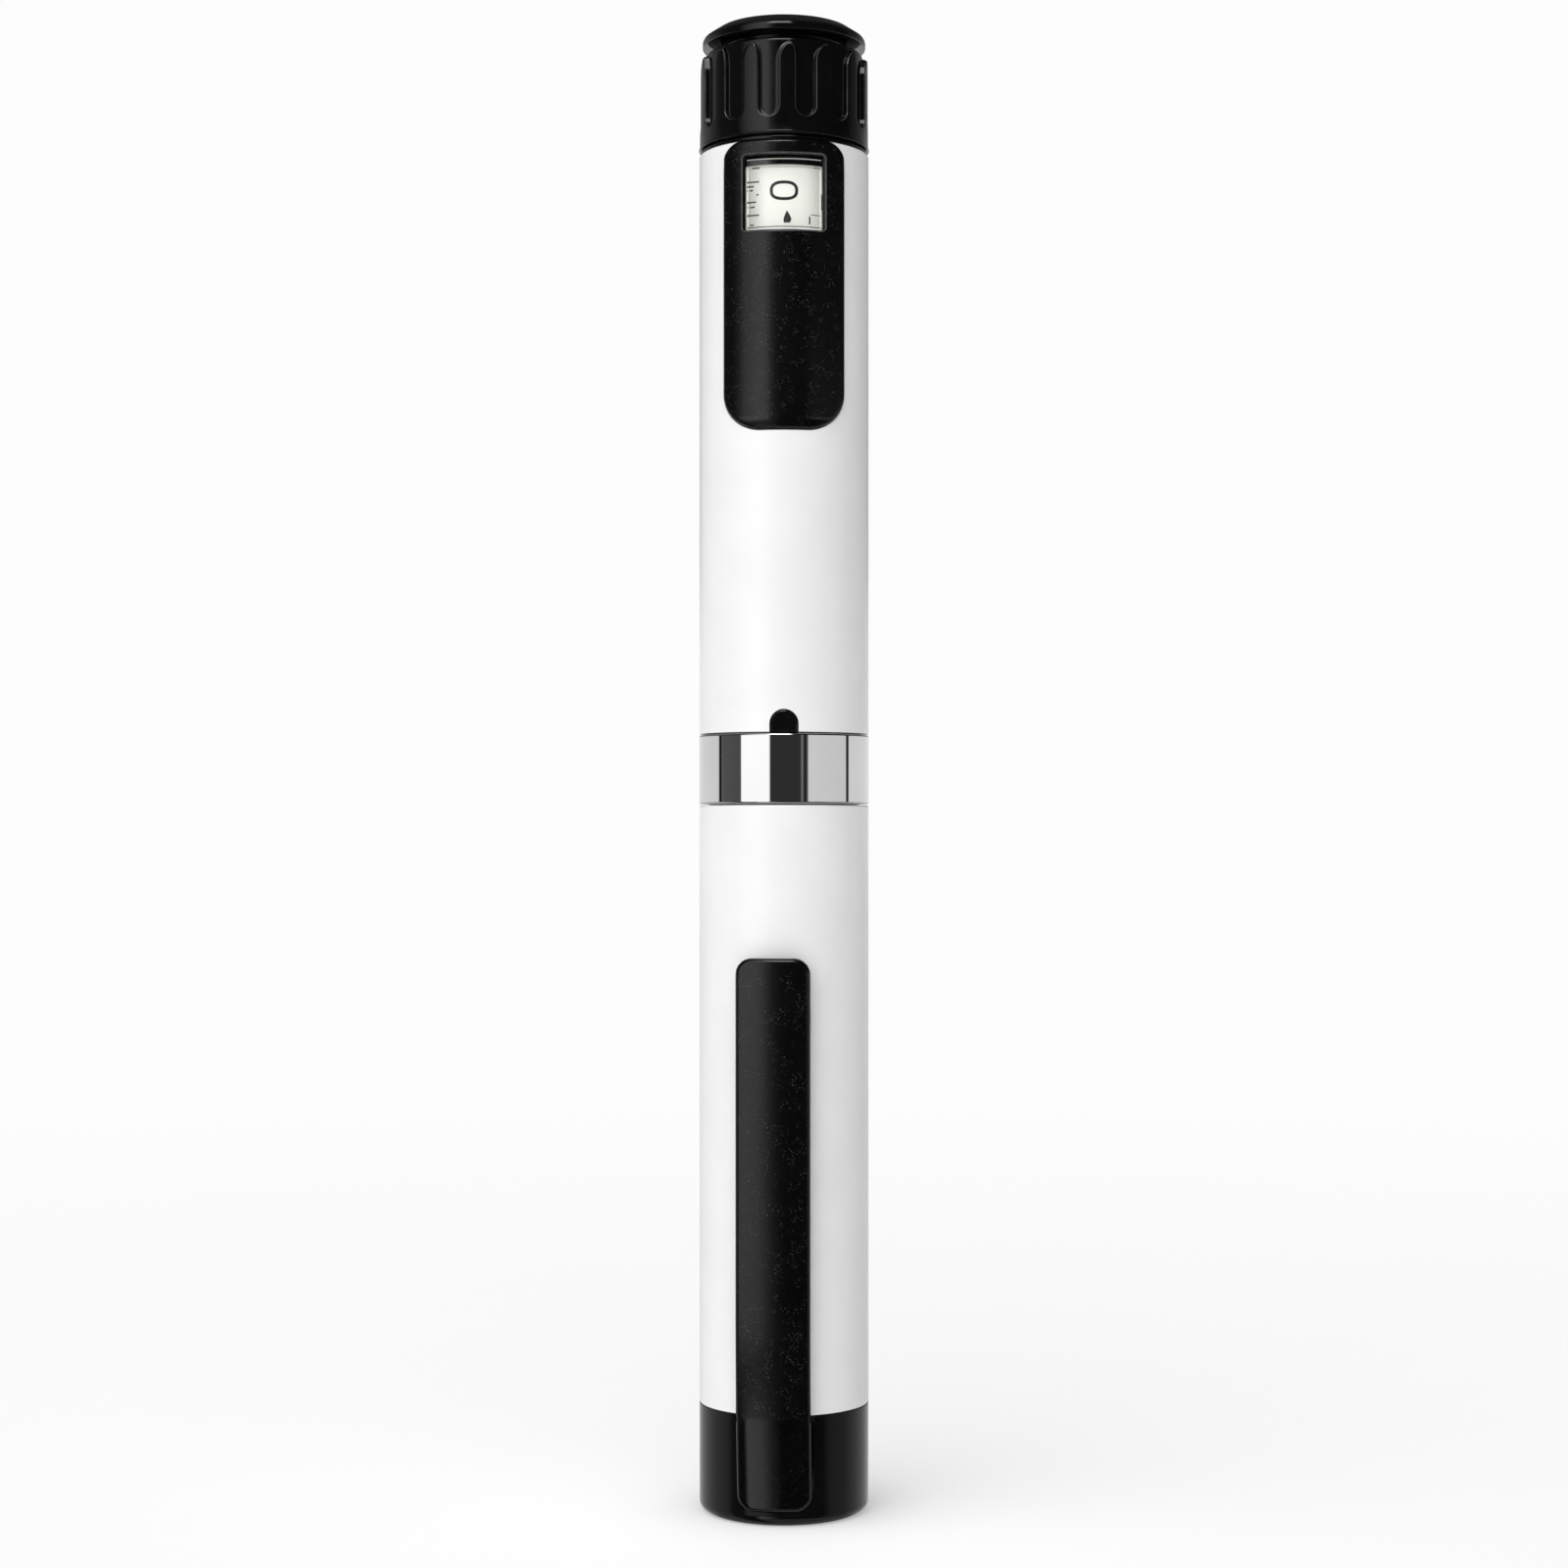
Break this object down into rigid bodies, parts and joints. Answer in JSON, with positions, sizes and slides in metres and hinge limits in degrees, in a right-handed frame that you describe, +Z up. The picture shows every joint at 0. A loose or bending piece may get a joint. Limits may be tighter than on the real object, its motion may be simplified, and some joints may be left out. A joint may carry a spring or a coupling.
{
  "type": "reusable injection pen",
  "caption": "Slim round injection pen, capped and standing on its cap end, with fluted dose knob, push button, dose window, bright ring and pocket clip.",
  "frame": {"origin": "Centre of the flat base of the cap, on the pen's axis.", "axes": "+Z runs up the pen from the cap end to the injection button. The dose window faces -Y."},
  "size_m": [0.0186, 0.0207, 0.1607],
  "materials": {
    "white_gloss": "glossy white lacquered shell",
    "black_gloss": "polished black moulding",
    "black_grained": "fine grained satin black moulding",
    "liner_grey": "plain grey moulding",
    "holder_clear": "clear plastic with a light smoke tint",
    "cartridge_clear": "clear glass",
    "crimp_aluminium": "rolled aluminium",
    "septum_rubber": "matt rubber",
    "stopper_rubber": "matt dark rubber",
    "bright_chrome": "mirror bright plating",
    "clear_lens": "clear moulded window",
    "drive_grey": "plain grey moulding",
    "clutch_blue": "plain blue moulding",
    "spring_steel": "drawn spring wire",
    "drum_cream": "satin off-white moulding with printed dial numbers"
  },
  "bodies": {
    "cap": {"cap_tube": "white_gloss", "cap_end_plug": "black_gloss", "cap_liner": "liner_grey"},
    "clip_arm": {"clip": "black_grained"},
    "holder": {"cartridge_holder": "holder_clear"},
    "cartridge": {"cartridge_glass": "cartridge_clear", "cartridge_crimp": "crimp_aluminium", "cartridge_septum": "septum_rubber"},
    "stopper": {"cartridge_stopper": "stopper_rubber"},
    "pen_body": {"barrel": "white_gloss", "chrome_ring": "bright_chrome", "front_collar": "black_gloss", "chassis": "black_gloss", "window_bezel": "black_grained", "window_lens": "clear_lens", "cartridge_cushion": "stopper_rubber", "sleeve_retainer": "black_gloss"},
    "rod": {"plunger_rod": "black_gloss", "rod_foot": "drive_grey"},
    "nut": {"drive_sleeve": "drive_grey"},
    "drive": {"clutch_sleeve": "clutch_blue", "button_spring": "spring_steel"},
    "dial": {"dose_drum": "drum_cream", "dose_knob": "black_gloss"},
    "button": {"injection_button": "black_gloss"}
  },
  "joints": [
    {"name": "cap_pull", "type": "slide", "parent": "cap", "child": "holder", "axis": [0, 0, 1], "range_m": [0, 0.07]},
    {"name": "clip_flex", "type": "hinge", "parent": "cap", "child": "clip_arm", "pos_m": [-0.00102, -0.00894, 0.003], "axis": [0.9936, -0.1132, 0], "range_deg": [0, 4], "stiffness_Nm_per_rad": 0.5},
    {"name": "holder_turn", "type": "hinge", "parent": "holder", "child": "cartridge", "pos_m": [0, 0, 0.075], "axis": [0, 0, 1], "range_deg": [0, 60]},
    {"name": "barrel_lift", "type": "slide", "parent": "cartridge", "child": "pen_body", "axis": [0, 0, 1], "range_m": [0, 0.025]},
    {"name": "stopper_slide", "type": "slide", "parent": "cartridge", "child": "stopper", "axis": [0, 0, -1], "range_m": [0, 0.041]},
    {"name": "nut_turn", "type": "hinge", "parent": "pen_body", "child": "nut", "pos_m": [0, 0, 0.088], "axis": [0, 0, 1], "range_deg": [0, 6709.1]},
    {"name": "rod_advance", "type": "slide", "parent": "pen_body", "child": "rod", "axis": [0, 0, -1], "range_m": [0, 0.041]},
    {"name": "dose_out", "type": "slide", "parent": "pen_body", "child": "drive", "axis": [0, 0, 1], "range_m": [0, 0.024]},
    {"name": "dial_turn", "type": "hinge", "parent": "drive", "child": "dial", "pos_m": [0, 0, 0.15], "axis": [0, 0, -1], "range_deg": [0, 1080]},
    {"name": "button_press", "type": "slide", "parent": "drive", "child": "button", "axis": [0, 0, -1], "range_m": [0, 0.0008], "stiffness_N_per_m": 600, "deforming": ["button_spring"]}
  ],
  "couplings": [
    {"joint": "nut_turn", "follows": "rod_advance", "rad_per_m": 2856},
    {"joint": "stopper_slide", "follows": "rod_advance", "ratio": 1},
    {"joint": "dose_out", "follows": "dial_turn", "m_per_rad": 0.0012732}
  ]
}
